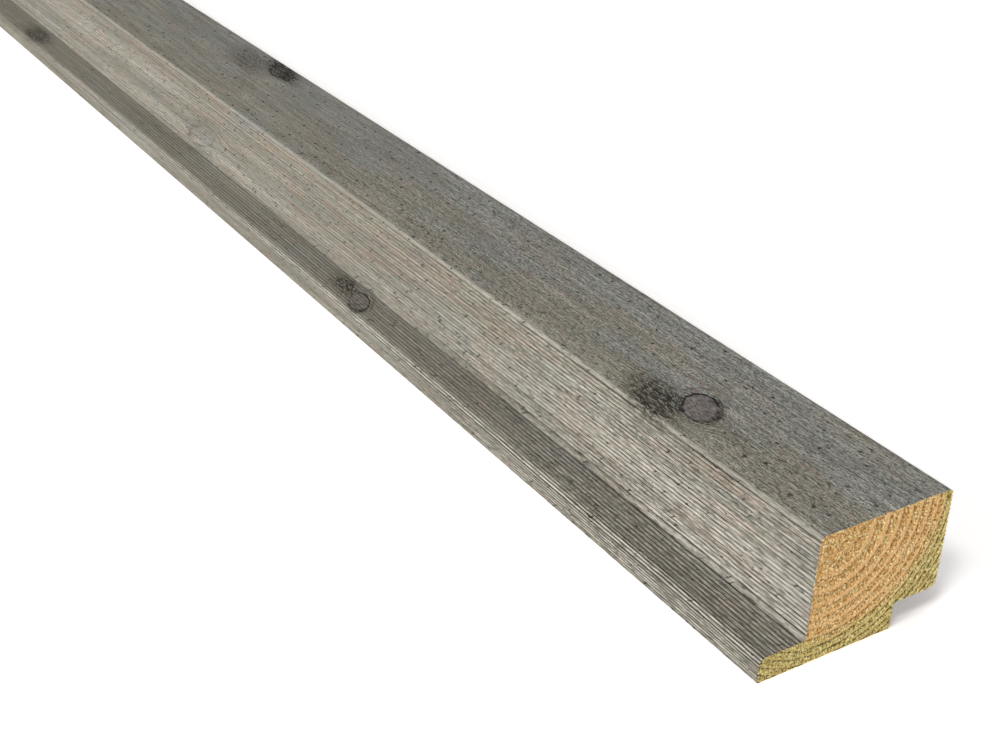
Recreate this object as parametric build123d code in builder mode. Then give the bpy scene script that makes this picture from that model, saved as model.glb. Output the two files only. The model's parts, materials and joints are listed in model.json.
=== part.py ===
"""A moulded softwood slat: a thick block with a thin tongue along one edge and a rebate under the other.

The slat lies on its flat back with its face up. Its length runs along X, its width along Y with the
tongue towards -Y, and its thickness along Z. The origin is under the middle of the length and width.
"""

import os

from build123d import *

# Overall size of the stock, in millimetres
slat_length = 1800.0
slat_width = 70.0
slat_thickness = 45.0

# The tongue stands out of the foot of the block and slips under the rebate of the next slat
tongue_reach = 17.5
tongue_thickness = 9.0

# The rebate is cut into the back, and clears the tongue so that both slats lie flat on the batten
lap_clearance = 0.5
rebate_reach = tongue_reach
rebate_height = tongue_thickness + lap_clearance

# The cutters leave each long edge eased and each inner corner slightly rounded
face_arris_radius = 2.0
heel_radius = 3.0
nose_radius = 3.0
back_arris_radius = 1.0
tongue_root_radius = 1.5
rebate_root_radius = 1.0

# Where the upright faces of the section stand across the width
tongue_tip = -slat_width / 2
block_side = tongue_tip + tongue_reach
rebated_side = tongue_tip + slat_width
rebate_shoulder = rebated_side - rebate_reach

# The corners of the section, clockwise from the foot of the tongue: across, up, rounding
section_corners = [
    (tongue_tip, 0, back_arris_radius),
    (tongue_tip, tongue_thickness, nose_radius),
    (block_side, tongue_thickness, tongue_root_radius),
    (block_side, slat_thickness, face_arris_radius),
    (rebated_side, slat_thickness, face_arris_radius),
    (rebated_side, rebate_height, heel_radius),
    (rebate_shoulder, rebate_height, rebate_root_radius),
    (rebate_shoulder, 0, back_arris_radius),
]

# One length of timber, run through the moulder and cut square at both ends
with BuildPart() as slat:
    with BuildSketch(Plane.YZ) as section:
        with BuildLine():
            FilletPolyline(
                *[(across, up) for across, up, rounding in section_corners],
                radius=[rounding for across, up, rounding in section_corners],
                close=True,
            )
        make_face()
    extrude(amount=slat_length / 2, both=True)

slat.part.label = "slat"

os.makedirs("parts", exist_ok=True)
export_step(slat.part, "parts/slat.step")

print(f"section {section.sketch.area:.1f} mm2, volume {slat.part.volume:.0f} mm3")
print(f"size {slat.part.bounding_box().size}")
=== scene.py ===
# %% [markdown]
# This notebook dresses a profiled slat of stained softwood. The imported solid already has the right
# section and length, so nothing here changes a size. What is missing is everything that the cutters, the
# saw, the stain and the tree itself leave on such a slat: fine ribs, raised fibre, knots, worn edges and
# bare end grain. The slat is one piece of stock, so it becomes one closed mesh with two finishes.

import json
import math
import random

import bmesh
import bpy
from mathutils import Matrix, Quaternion, Vector, noise


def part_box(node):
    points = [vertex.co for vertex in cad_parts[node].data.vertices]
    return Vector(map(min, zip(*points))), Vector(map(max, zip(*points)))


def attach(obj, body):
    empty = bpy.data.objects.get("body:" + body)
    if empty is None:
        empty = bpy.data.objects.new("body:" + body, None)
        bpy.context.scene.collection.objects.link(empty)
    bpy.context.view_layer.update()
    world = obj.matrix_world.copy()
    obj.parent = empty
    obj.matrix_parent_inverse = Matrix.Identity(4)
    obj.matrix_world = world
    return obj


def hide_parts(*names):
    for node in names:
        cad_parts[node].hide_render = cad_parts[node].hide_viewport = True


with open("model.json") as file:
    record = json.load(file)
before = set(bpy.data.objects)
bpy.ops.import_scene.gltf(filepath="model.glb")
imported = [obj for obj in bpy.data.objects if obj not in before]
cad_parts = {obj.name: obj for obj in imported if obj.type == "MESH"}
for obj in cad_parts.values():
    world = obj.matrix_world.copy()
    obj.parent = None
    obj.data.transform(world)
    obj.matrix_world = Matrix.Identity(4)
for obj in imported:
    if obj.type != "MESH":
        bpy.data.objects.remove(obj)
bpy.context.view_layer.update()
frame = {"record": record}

# %% [markdown]
# The section is read back from the frame. The box gives the outside, and the flat faces that the record
# lists as mounts give the height of the tongue, the height of the rebate and the place of its shoulder.
# The tongue reaches as far as the rebate is wide, so a like slat can lap this one.

# %% Where the faces of the slat are
MM = 0.001

low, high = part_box("slat")
mounts = {mount["name"]: mount for mount in frame["record"]["mounts"]}
tongue_top = mounts["tongue_lap"]["pos_m"][2]
rebate_top = mounts["rebate_lap"]["pos_m"][2]
rebate_shoulder = mounts["rebate_shoulder"]["pos_m"][1]
block_side = low.y + (high.y - rebate_shoulder)
half_length = (high.x - low.x) / 2
print("tongue top, rebate top, block side (mm):", tongue_top / MM, rebate_top / MM, block_side / MM)

# %% [markdown]
# Each face of a real slat has its own finish. The block's sides and the tongue are run past a ribbed
# cutter, the broad top is fine sawn, and what nobody sees is planed smooth. So each face gets a rib pitch
# and a depth, or a spacing of its points and a height of its fibre, and each corner gets the radius that
# its cutter left.

# %% Corners and faces of the section
# corner: across, up, radius in mm, segments of the arc, name of the face that starts there
corners = [
    (low.y, low.z, 1.0, 2, "tip"),
    (low.y, tongue_top, 3.0, 16, "tongue"),
    (block_side, tongue_top, 1.5, 3, "side"),
    (block_side, high.z, 2.0, 4, "top"),
    (high.y, high.z, 2.0, 4, "far_side"),
    (high.y, rebate_top, 3.0, 5, "lap"),
    (rebate_shoulder, rebate_top, 1.0, 2, "shoulder"),
    (rebate_shoulder, low.z, 1.0, 2, "back"),
]

# ribbed face: pitch and depth of its ribs in mm
ribbed_faces = {
    "tip": (1.0, 0.34),
    "tongue": (1.58, 0.45),
    "side": (1.52, 0.52),
    "far_side": (1.52, 0.52),
}

# plain face: spacing of its points in mm, and how high its fibre is raised
plain_faces = {
    "top": (0.85, 0.10),
    "lap": (2.0, 0.015),
    "shoulder": (2.0, 0.015),
    "back": (5.0, 0.015),
}
print("corners:", len(corners), "ribbed faces:", len(ribbed_faces), "plain faces:", len(plain_faces))

# %% [markdown]
# The section starts as eight points and one face at the far end of the slat. A vertex bevel with a profile
# of 0.5 turns each corner into a true arc. Layers travel with every vertex from here on. The first ones
# say how deep in a groove it is, how much its fibre stands up, whether it lies on a rubbed corner and which
# way is inward. The cutter ribbed the round nose of the tongue too, so the points of that arc are marked
# as a rib's points are. The foot of the tip and the two inner corners are never rubbed.

# %% Draw the section and round its corners
POINTS_PER_RIB = 4
# how deep each point of a rib lies, from its groove to its ridge, as a share of the rib's depth
groove_steps = (1.0, 0.35, 0.0, 0.35)
# the finer ribs of the tip and the nose have sharper grooves
fine_steps = (1.35, 0.36, 0.0, 0.36)
NOSE_DEPTH = 0.34 * MM
RIB_FIBRE = 0.04 * MM

slat = bmesh.new()
groove = slat.verts.layers.float.new("groove")
groove_depth = slat.verts.layers.float.new("groove_depth")
arris = slat.verts.layers.float.new("arris")
fibre = slat.verts.layers.float.new("fibre")
sawn = slat.verts.layers.float.new("sawn")
planed = slat.verts.layers.float.new("planed")
around = slat.verts.layers.float.new("around")
inward = slat.verts.layers.float_vector.new("inward")
knot_place = slat.verts.layers.float_vector.new("knot_place")
knot_side = slat.verts.layers.float_vector.new("knot_side")
knot_look = slat.verts.layers.float_vector.new("knot_look")
patch = slat.verts.layers.float_vector.new("patch")

unworn_corners = {"tip", "side", "shoulder"}
sharp_corners = [Vector((low.x, across, up)) for across, up, *_ in corners]
corner_verts = [slat.verts.new(point) for point in sharp_corners]
slat.faces.new(corner_verts)

for vert, corner, (_, _, radius, segments, name) in zip(corner_verts, sharp_corners, corners):
    rounded = bmesh.ops.bevel(
        slat, geom=[vert], offset=radius * MM, offset_type="OFFSET", segments=segments,
        profile=0.5, affect="VERTICES", material=-1,
    )
    to_corner = [(new_vert.co - corner).length for new_vert in rounded["verts"]]
    if name == "tongue":
        for place, new_vert in enumerate(sorted(rounded["verts"], key=lambda v: v.co.y)):
            new_vert[groove] = fine_steps[place % POINTS_PER_RIB]
            new_vert[groove_depth] = NOSE_DEPTH
            new_vert[fibre] = RIB_FIBRE
    elif name not in unworn_corners:
        for new_vert, distance in zip(rounded["verts"], to_corner):
            new_vert[arris] = (max(to_corner) - distance) / (max(to_corner) - min(to_corner))
print("section with round corners:", len(slat.verts), "vertices")

# %% [markdown]
# A straight edge of the section becomes a row of ribs by being subdivided: four points to a rib. Every
# fourth point is the floor of a groove. Its two neighbours are drawn a little towards it, which makes the
# groove narrower than the ridge, as a comb-shaped cutter leaves it. The points are only marked here, and
# are pushed in later, when the slat has its length.

# %% Divide the straight edges into ribs
GROOVE_PINCH = 0.07
LINE_TOLERANCE = 0.01 * MM
LONGEST_ARC_PIECE = 3 * MM


def edge_between(start, end):
    """The straight edge that is left between two rounded corners."""
    middle = (start + end) / 2
    straight_edges = [edge for edge in slat.edges if edge.calc_length() > LONGEST_ARC_PIECE]
    return min(straight_edges, key=lambda e: ((e.verts[0].co + e.verts[1].co) / 2 - middle).length)


def divide(edge, start, end, pieces):
    """Cuts an edge into equal pieces, and returns the vertices on its line in order from start."""
    bmesh.ops.subdivide_edges(slat, edges=[edge], cuts=pieces - 1)
    line = end - start
    tolerance = line.length * LINE_TOLERANCE
    row = [vert for vert in slat.verts if (vert.co - start).cross(line).length < tolerance]
    return sorted(row, key=lambda vert: (vert.co - start).dot(line))


for index, (*_, name) in enumerate(corners):
    start, end = sharp_corners[index], sharp_corners[(index + 1) % len(corners)]
    along_face = (end - start).normalized()
    edge = edge_between(start, end)
    width = edge.calc_length()
    if name in ribbed_faces:
        pitch, depth = ribbed_faces[name]
        ribs = round(width / (pitch * MM))
        row = divide(edge, start, end, ribs * POINTS_PER_RIB)
        steps = fine_steps if name == "tip" else groove_steps
        for place, vert in enumerate(row):
            step = place % POINTS_PER_RIB
            vert[groove] = steps[step]
            vert[groove_depth] = depth * MM
            vert[fibre] = RIB_FIBRE
            if step in (1, 3):
                towards_groove = -1 if step == 1 else 1
                vert.co += along_face * towards_groove * GROOVE_PINCH * width / ribs
        print(name, "ribs:", ribs)
    else:
        spacing, raised = plain_faces[name]
        for vert in divide(edge, start, end, round(width / (spacing * MM))):
            vert[fibre] = raised * MM
            vert[sawn] = 1.0 if name == "top" else 0.0
            vert[planed] = 0.0 if name == "top" else 1.0
print("section with ribs marked:", len(slat.verts), "vertices")

# %% [markdown]
# Walking once round the section gives every point its distance around, which later serves as one axis of
# the unrolled pattern, and its inward direction, square to the line between its neighbours.

# %% Measure the way round the section
slat.faces.ensure_lookup_table()
section_ring = [loop.vert for loop in slat.faces[0].loops]
tip_foot = min(range(len(section_ring)), key=lambda i: (section_ring[i].co - sharp_corners[0]).length)
section_ring = section_ring[tip_foot:] + section_ring[:tip_foot]

perimeter = 0.0
for place, vert in enumerate(section_ring):
    if place > 0:
        perimeter += (vert.co - section_ring[place - 1].co).length
    vert[around] = perimeter
perimeter += (section_ring[0].co - section_ring[-1].co).length

for place, vert in enumerate(section_ring):
    before, after = section_ring[place - 1], section_ring[(place + 1) % len(section_ring)]
    run = (after.co - before.co).normalized()
    vert[inward] = Vector((0.0, run.z, -run.y))
section_places = [(vert.co.y, vert.co.z, vert[around]) for vert in section_ring]
print("distance round the section (mm):", round(perimeter / MM, 1))


def place_around(across, up):
    """How far round the section, in metres, the point nearest to a place on it is."""
    return min(section_places, key=lambda p: (p[0] - across) ** 2 + (p[1] - up) ** 2)[2]


# %% [markdown]
# Both ends of the slat are sawn. An end starts as one big polygon, which can't hold any relief, so it is
# cut into a fine grid by planes. Bisecting keeps the outline exactly as it is, ribs and all, where a grid
# laid over it would have to be trimmed. A short collar is drawn out behind it first, so that the points
# which the planes add on the outline stay at the end and don't run down the whole slat. The parts to cut
# are kept in order, so that each run makes the same mesh.

# %% Grid the sawn end
STAINED = 0
SAWN_END = 1
COLLAR = 3.0 * MM
SAW_GRID = 0.62 * MM
GRID_SHIFT = 0.37
ON_THE_CUT = 1e-7


def of_kind(parts, kind):
    """The parts of one kind in a list of mixed parts of a mesh."""
    return [part for part in parts if isinstance(part, kind)]


collar = bmesh.ops.extrude_edge_only(slat, edges=list(slat.edges))["geom"]
for vert in of_kind(collar, bmesh.types.BMVert):
    vert.co.x += COLLAR
for face in slat.faces:
    face.material_index = SAWN_END if len(face.verts) > 4 else STAINED

for axis, first_cut, last_cut in ((1, low.y, high.y), (2, low.z, high.z)):
    square_to_cut = Vector((0.0, axis == 1, axis == 2))
    left_to_cut = [face for face in slat.faces if face.material_index == SAWN_END]
    for cut in range(int((last_cut - first_cut) / SAW_GRID)):
        at = first_cut + (cut + GRID_SHIFT) * SAW_GRID
        parts = dict.fromkeys(left_to_cut)
        for face in left_to_cut:
            parts.update(dict.fromkeys(face.edges))
            parts.update(dict.fromkeys(face.verts))
        parts = bmesh.ops.bisect_plane(
            slat, geom=list(parts), dist=ON_THE_CUT, plane_co=square_to_cut * at, plane_no=square_to_cut,
        )["geom"]
        cut_faces = of_kind(parts, bmesh.types.BMFace)
        left_to_cut = [face for face in cut_faces if face.calc_center_median()[axis] > at]
print("faces on one sawn end:", sum(face.material_index == SAWN_END for face in slat.faces))

# %% [markdown]
# The other end is a mirror image of the first, and the slat between them is a bridge from collar to
# collar. Its long edges are then subdivided, which gives every ring of points at once. Moving the rings
# along a sine draws them closer together at both ends, where the eye goes, and wider apart in the middle.

# %% Mirror the end and bridge the length
RINGS = 200
CLOSER_AT_ENDS = 0.45

one_end = [*slat.verts, *slat.edges, *slat.faces]
bmesh.ops.mirror(slat, geom=one_end, axis="X", merge_dist=0.0)
bmesh.ops.bridge_loops(slat, edges=[edge for edge in slat.edges if edge.is_boundary])
long_edges = [edge for edge in slat.edges if edge.calc_length() > half_length]
bmesh.ops.subdivide_edges(slat, edges=long_edges, cuts=RINGS)

for vert in slat.verts:
    share = vert.co.x / (half_length - COLLAR)
    if abs(share) < 1.0:
        closer = (1 - CLOSER_AT_ENDS) * share + CLOSER_AT_ENDS * math.sin(share * math.pi / 2)
        vert.co.x = closer * (half_length - COLLAR)
bmesh.ops.recalc_face_normals(slat, faces=slat.faces)
print("drawn out:", len(slat.verts), "vertices,", len(slat.faces), "faces")

# %% [markdown]
# Knots are where branches ran through the wood. They come in whorls, several at one height of the tree, so
# two or three faces of a slat show one at about the same place. Each is listed with its distance from the
# near end, its place on the section, its half length and half width, its tilt, how dark its rim and its
# heart are, and which way its soft side faces. The first five can be seen in the usual view, and the rest
# are on the sides and the stretch that it hides. The patches are resin, pale patches and one rosy fleck.
# The pale ones are partly bleached and rubbed fibre and partly painted light: brighter bands low on the
# block's side, and a painted highlight along the nose of the tongue.

# %% List the knots and the patches
# name: from the near end, across, up, half length, half width (mm), tilt (degrees), rim, heart, soft side
knots = {
    "block_knot": (74.8, -1.2, 45.0, 9.3, 6.0, -35, 1.0, 0.8, -30),
    "edge_knot": (452.0, 26.5, 45.0, 9.0, 4.0, -15, 0.8, 0.3, 200),
    "side_knot": (451.2, -17.5, 17.9, 17.0, 5.1, 16, 0.3, 0.12, 90),
    "tongue_knot": (262.0, -27.1, 9.0, 8.6, 4.2, -26, 0.9, 0.3, 240),
    "tip_knot": (688.0, -27.5, 9.0, 8.0, 4.5, -10, 0.5, 0.3, 0),
    "far_side_knot": (462.0, 35.0, 27.0, 12.0, 7.0, 12, 0.8, 0.5, 30),
    "mid_top_knot": (905.0, -6.0, 45.0, 9.5, 6.5, 20, 0.9, 0.6, 160),
    "mid_side_knot": (912.0, -17.5, 31.0, 9.0, 5.0, -15, 0.5, 0.35, 200),
    "mid_back_knot": (898.0, -4.0, 0.0, 11.0, 6.5, 8, 0.8, 0.6, 80),
    "late_top_knot": (1330.0, 15.0, 45.0, 7.0, 5.0, -30, 0.9, 0.7, 140),
    "late_far_knot": (1322.0, 35.0, 30.0, 10.0, 5.5, 16, 0.8, 0.5, 300),
    "last_side_knot": (1655.0, -17.5, 26.0, 8.0, 5.0, 10, 0.6, 0.4, 100),
}

# kind, from the near end, across, up, half length, half width (mm), tilt (degrees), strength
patches = [
    ("resin", 87.0, -9.5, 45.0, 16.0, 9.5, -16, 1.15),
    ("resin", 62.0, -4.0, 45.0, 18.0, 4.0, -5, 0.3),
    ("resin", 452.0, 27.5, 45.0, 20.0, 6.0, -10, 1.9),
    ("resin", 476.0, 20.0, 45.0, 26.0, 8.0, -14, 0.6),
    ("resin", 688.0, -27.5, 9.0, 20.0, 6.5, -5, 1.15),
    ("resin", 278.0, -25.0, 9.0, 12.0, 5.0, -10, 1.0),
    ("resin", 474.0, 35.0, 30.0, 24.0, 8.0, 6, 0.6),
    ("resin", 920.0, -10.0, 45.0, 20.0, 7.0, 14, 0.7),
    ("resin", 1345.0, 19.0, 45.0, 18.0, 6.0, -18, 0.7),
    ("resin", 1336.0, 35.0, 33.0, 17.0, 6.0, 10, 0.5),
    # pale patches: bleached and rubbed fibre, and painted light, such as the brighter bands low on the
    # block's side and the highlight along the tongue's nose
    ("pale", 50.0, -17.5, 23.0, 160.0, 8.0, 0, 0.85),
    ("pale", 68.0, 5.2, 45.0, 6.0, 2.2, 8, 0.9),
    ("pale", 450.0, -17.5, 13.5, 470.0, 4.5, 0, 0.6),
    ("pale", 620.0, -17.5, 30.0, 150.0, 6.0, 1, 0.5),
    ("pale", 0.0, -34.2, 8.1, 700.0, 1.3, 0, 1.2),
    ("pale", 0.0, -35.0, 4.0, 130.0, 5.0, 0, 0.35),
    ("pale", 60.0, -17.5, 35.0, 120.0, 8.0, 0, 0.28),
    ("pale", 20.0, -17.5, 13.0, 80.0, 5.0, 0, 1.0),
    ("pale", 426.0, 3.0, 45.0, 14.0, 1.6, 112, 0.9),
    ("pale", 300.0, 35.0, 26.0, 170.0, 8.0, 0, 0.8),
    ("pale", 1250.0, -17.5, 22.0, 180.0, 7.0, -1, 0.9),
    ("rosy", 85.0, 4.1, 45.0, 2.8, 0.8, 0, 0.5),
]


def unrolled(from_near_end, across, up):
    """A place on the slat, given in mm, as its place in mm on the unrolled surface."""
    return Vector((high.x / MM - from_near_end, place_around(across * MM, up * MM) / MM, 0.0))


def in_ellipse(at, centre, half_long, half_wide, tilt):
    """A place in the frame of a tilted ellipse whose rim is at a distance of 1."""
    away = at - centre
    turn = math.radians(tilt)
    along = away.x * math.cos(turn) + away.y * math.sin(turn)
    aside = away.y * math.cos(turn) - away.x * math.sin(turn)
    return Vector((along / half_long, aside / half_wide))


print("knots:", len(knots), "patches:", len(patches))

# %% [markdown]
# The rings of points are too far apart to carry a knot. Only the long edges around each knot are
# subdivided, so the mesh is fine where it has to be and stays light elsewhere.

# %% Refine the mesh around each knot
KNOT_CUTS = 7
MARGIN_ALONG = 5.0
MARGIN_ASIDE = 3.0

near_knots = []
knot_places = [(unrolled(*sizes[:3]), sizes[3], sizes[4]) for sizes in knots.values()]
for edge in slat.edges:
    one, other = edge.verts
    if abs(one.co.x - other.co.x) > MM:
        middle = Vector((one.co.x + other.co.x, one[around] + other[around], 0.0)) / 2 / MM
        if any(abs(middle.x - centre.x) < half_long + MARGIN_ALONG
               and abs(middle.y - centre.y) < half_wide + MARGIN_ASIDE
               for centre, half_long, half_wide in knot_places):
            near_knots.append(edge)
bmesh.ops.subdivide_edges(slat, edges=near_knots, cuts=KNOT_CUTS)
print("after refining the knots:", len(slat.verts), "vertices")

# %% [markdown]
# Each point is told where it lies in the frame of its nearest knot, in which the rim is a circle of radius
# 1. The frame is flat, so the values between the points come out exact, and the material can draw a crisp
# rim on a coarse mesh. Points far from every knot get no strength. Patches fade out softly, so for them
# each point just gets a strength of each kind.

# %% Tell each point of its knot and its patches
KNOT_REACH = 4.0
PATCH_KINDS = ("resin", "pale", "rosy")
PATCH_FADE = (1.4, 0.3)
PATCH_REACH = 1.5


def smooth_step(value, start, end):
    """0 before the start, 1 after the end, and smooth between them."""
    share = min(max((value - start) / (end - start), 0.0), 1.0)
    return share * share * (3 - 2 * share)


knot_list = [(unrolled(*sizes[:3]), *sizes[3:]) for sizes in knots.values()]
patch_list = [(PATCH_KINDS.index(kind), unrolled(*sizes[:3]), *sizes[3:]) for kind, *sizes in patches]
for vert in slat.verts:
    place = Vector((vert.co.x, vert[around], 0.0)) / MM
    reached = []
    for centre, half_long, half_wide, tilt, rim, heart, soft_side in knot_list:
        at = in_ellipse(place, centre, half_long, half_wide, tilt)
        reached.append((at.length, at, place.y - centre.y, tilt, rim, heart, soft_side))
    distance, at, aside, tilt, rim, heart, soft_side = min(reached, key=lambda one: one[0])
    turn = math.radians(soft_side - tilt)
    vert[knot_place] = Vector((at.x, at.y, aside))
    vert[knot_side] = Vector((math.cos(turn), math.sin(turn), 0.0))
    if distance < KNOT_REACH:
        vert[knot_look] = Vector((rim, heart, 1.0))
    strengths = [0.0] * len(PATCH_KINDS)
    for kind, centre, half_long, half_wide, tilt, strength in patch_list:
        if abs(place.x - centre.x) < PATCH_REACH * half_long + half_wide:
            distance = in_ellipse(place, centre, half_long, half_wide, tilt).length
            strengths[kind] = max(strengths[kind], strength * smooth_step(distance, *PATCH_FADE))
    vert[patch] = Vector(strengths)
print("points near a knot:", sum(vert[knot_look].z > 0 for vert in slat.verts))

# %% [markdown]
# Now the relief goes in, all of it inward from the true surface. Grooves waver a little along the slat, are
# torn shallow in places and run out over the heart of a knot. Towards the middle of the slat they are a
# little shallower. Between them, fibre stands up in long low ridges, most on the sawn top. The noise is a
# fixed function of place, so each run gives the same slat.

# %% Push in the ribs and raise the fibre
# length and width of each kind of streak in mm, and its seed
uneven_grooves = (26, 1.6, 3.1)
torn_grooves = (14, 3.0, 8.4)
long_fibre = (22, 0.9, 1.7)
short_fibre = (7, 1.4, 5.2)
rubbed_corners = (9, 4.0, 2.2)
wavering_ribs = (40, 9.0, 6.6)

GROOVE_UNEVEN = 0.3
GROOVE_TORN = 0.6
TORN_FROM = 0.25
CONTRAST_ENDS = 300
CONTRAST_FULL = 60
SHALLOW = 0.7
FIBRE_LEVEL = 0.6
SHORT_SHARE = 0.6
CORNER_WEAR = 0.06 * MM
RIM_DEPTH = 0.16 * MM
RIM_SPREAD = 0.12
HEART_EDGE = (1.05, 0.85)
FILLED_BY_HEART = 0.6
WAVER = 0.12 * MM


def streaks(x, s, length, width, seed):
    """Noise between -1 and 1 in streaks of a given length and width in mm."""
    return noise.noise(Vector((x / (length * MM), s / (width * MM), seed)))


deepest = 0.0
for vert in slat.verts:
    x, s = vert.co.x, vert[around]
    into = vert[inward].normalized() if vert[inward].length else Vector()
    sideways = Vector((0.0, -into.z, into.y))
    depth = vert[groove] * vert[groove_depth]
    depth *= 1.0 + GROOVE_UNEVEN * streaks(x, s, *uneven_grooves)
    torn = max(0.0, streaks(x, s, *torn_grooves) - TORN_FROM) / (1 - TORN_FROM)
    depth *= 1.0 - GROOVE_TORN * torn
    from_end = (half_length - abs(x)) / MM
    depth *= SHALLOW + (1.0 - SHALLOW) * smooth_step(from_end, CONTRAST_ENDS, CONTRAST_FULL)
    from_knot = math.hypot(vert[knot_place].x, vert[knot_place].y)
    depth *= 1.0 - FILLED_BY_HEART * vert[knot_look].y * smooth_step(from_knot, *HEART_EDGE)
    deepest = max(deepest, depth)
    height = FIBRE_LEVEL + streaks(x, s, *long_fibre) + SHORT_SHARE * streaks(x, s, *short_fibre)
    between_fibres = max(0.0, vert[fibre] * height)
    pale_ridge_and_highlight = vert[arris] * CORNER_WEAR * (1.0 + streaks(x, s, *rubbed_corners))
    rim_sunk = vert[knot_look].x * RIM_DEPTH * math.exp(-((from_knot - 1.0) / RIM_SPREAD) ** 2)
    waver = WAVER * streaks(x, s, *wavering_ribs) * (1.0 - vert[arris])
    vert.co += into * (depth + between_fibres + pale_ridge_and_highlight + rim_sunk) + sideways * waver
print("deepest groove (mm):", round(deepest / MM, 2))

# %% [markdown]
# A saw tears end grain. The soft early wood of each ring is pulled out deeper than the hard late wood, so
# the end is a set of low arcs about the pith with a rough floor between them, crossed by the faint lines
# of the saw. The points are taken in their order in the mesh, so the seeded draws fall the same each run.

# %% Roughen the sawn ends
PITH_ACROSS = -11 * MM
PITH_UP = 44 * MM
RINGS_FLATTENED = 1.04
FIRST_YEAR = -0.357
YEARS_PER_MM = 0.1449
SLOWING = 3.8e-5

# parts of a year between which its wood is late, and the share of a tear that late wood holds back
LATE_STARTS, LATE_ENDS = 0.55, 0.95
HELD_BY_LATE_WOOD = 0.65

# depths in mm, and how far apart the saw's lines are
TEAR_ON_EDGE = (0.0, 0.16)
TEAR = (0.05, 0.34)
SAW_LINE = 0.03
SAW_LINE_ACROSS = 1.4 * MM
SAW_LINE_UP = 5 * MM


def years(across, up):
    """How many growth rings lie between the pith and a place on the section."""
    radius = math.hypot(across - PITH_ACROSS, (up - PITH_UP) * RINGS_FLATTENED) / MM
    return FIRST_YEAR + YEARS_PER_MM * radius + SLOWING * radius ** 3


random.seed(7)
end_verts = [
    vert for vert in slat.verts if any(face.material_index == SAWN_END for face in vert.link_faces)
]
for vert in end_verts:
    outward = 1 if vert.co.x > 0 else -1
    part_of_year = years(vert.co.y, vert.co.z) % 1.0
    late_wood = 1.0 if LATE_STARTS < part_of_year < LATE_ENDS else 0.0
    if any(face.material_index != SAWN_END for face in vert.link_faces):
        tear = random.uniform(*TEAR_ON_EDGE)
    else:
        tear = random.uniform(*TEAR) * (1.0 - HELD_BY_LATE_WOOD * late_wood)
    saw_line = SAW_LINE * math.sin(vert.co.y / SAW_LINE_ACROSS + vert.co.z / SAW_LINE_UP)
    vert.co.x -= outward * (tear + saw_line + SAW_LINE) * MM
print("points on the sawn ends:", len(end_verts))

# %% [markdown]
# The finished mesh gets one map: the slat's surface unrolled, with the distance along it one way and the
# distance round it the other, in metres. Stain, fibre and knots follow the surface round its corners by
# this map. The faces that close the loop are laid past the end of the map, so that no pattern is squeezed.

# %% Unroll the surface
unrolled_map = slat.loops.layers.uv.new("unrolled")
for face in slat.faces:
    distances = [vert[around] for vert in face.verts]
    closes_loop = max(distances) - min(distances) > perimeter / 2
    for loop in face.loops:
        if face.material_index == SAWN_END:
            loop[unrolled_map].uv = (loop.vert.co.y, loop.vert.co.z)
        else:
            lap = perimeter if closes_loop and loop.vert[around] < perimeter / 2 else 0.0
            loop[unrolled_map].uv = (loop.vert.co.x, loop.vert[around] + lap)
print("unrolled:", len(slat.faces), "faces")

# %% [markdown]
# The layers become attributes of the mesh, where the materials can read them. Faces are shaded smooth, and
# the sharp lines, such as the sawn edges, are kept by an angle.

# %% Make the slat an object
SHARP_ANGLE = math.radians(55)

bmesh.ops.recalc_face_normals(slat, faces=slat.faces)
slat_mesh = bpy.data.meshes.new("ribbed_slat")
slat.to_mesh(slat_mesh)
slat.free()
slat_mesh.shade_smooth()
slat_mesh.set_sharp_from_angle(angle=SHARP_ANGLE)
ribbed_slat = bpy.data.objects.new("ribbed_slat", slat_mesh)
bpy.context.scene.collection.objects.link(ribbed_slat)
slat_mesh.calc_loop_triangles()
print("slat:", len(slat_mesh.vertices), "vertices,", len(slat_mesh.loop_triangles), "triangles")

# %% [markdown]
# Materials are built from nodes, and a few small helpers keep the cells below short. The first adds any
# node and wires or sets its inputs. Most of the others add one kind of node each, with the few settings
# that this slat needs, so that a finish reads as a list of what is laid over what.

# %% Helpers for nodes


def add(tree, kind, inputs=None, **settings):
    """Adds a node, sets its properties, and wires or sets the inputs given by name or number."""
    node = tree.nodes.new("ShaderNode" + kind)
    for name, value in settings.items():
        setattr(node, name, value)
    for key, value in (inputs or {}).items():
        if isinstance(value, bpy.types.NodeSocket):
            tree.links.new(value, node.inputs[key])
        else:
            node.inputs[key].default_value = value
    return node


def calc(tree, operation, first, second=0.0, third=0.0):
    """Adds a Math node and returns its result."""
    return add(tree, "Math", {0: first, 1: second, 2: third}, operation=operation).outputs[0]


def times(tree, first, second):
    """Multiplies two values."""
    return calc(tree, "MULTIPLY", first, second)


def between(tree, share, at_none, at_full):
    """Goes evenly from one number to another as a share goes from 0 to 1."""
    return calc(tree, "MULTIPLY_ADD", share, at_full - at_none, at_none)


def swayed(tree, value, by, amount):
    """Moves a value up and down with a noise from 0 to 1, which leaves it alone at a half."""
    return calc(tree, "MULTIPLY_ADD", calc(tree, "SUBTRACT", by, 0.5), amount, value)


def ramp(tree, value, low_in, high_in, low_out=0.0, high_out=1.0):
    """Maps one range of a value to another, smoothly and within limits."""
    node = add(tree, "MapRange", {0: value, 1: low_in, 2: high_in, 3: low_out, 4: high_out},
               interpolation_type="SMOOTHSTEP", clamp=True)
    return node.outputs[0]


def axes(tree, vector):
    """The three parts of a vector."""
    return add(tree, "SeparateXYZ", {0: vector}).outputs


def layer(tree, name, output="Fac"):
    """A layer of the mesh's points, as a number or as a vector."""
    return add(tree, "Attribute", attribute_name=name).outputs[output]


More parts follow.
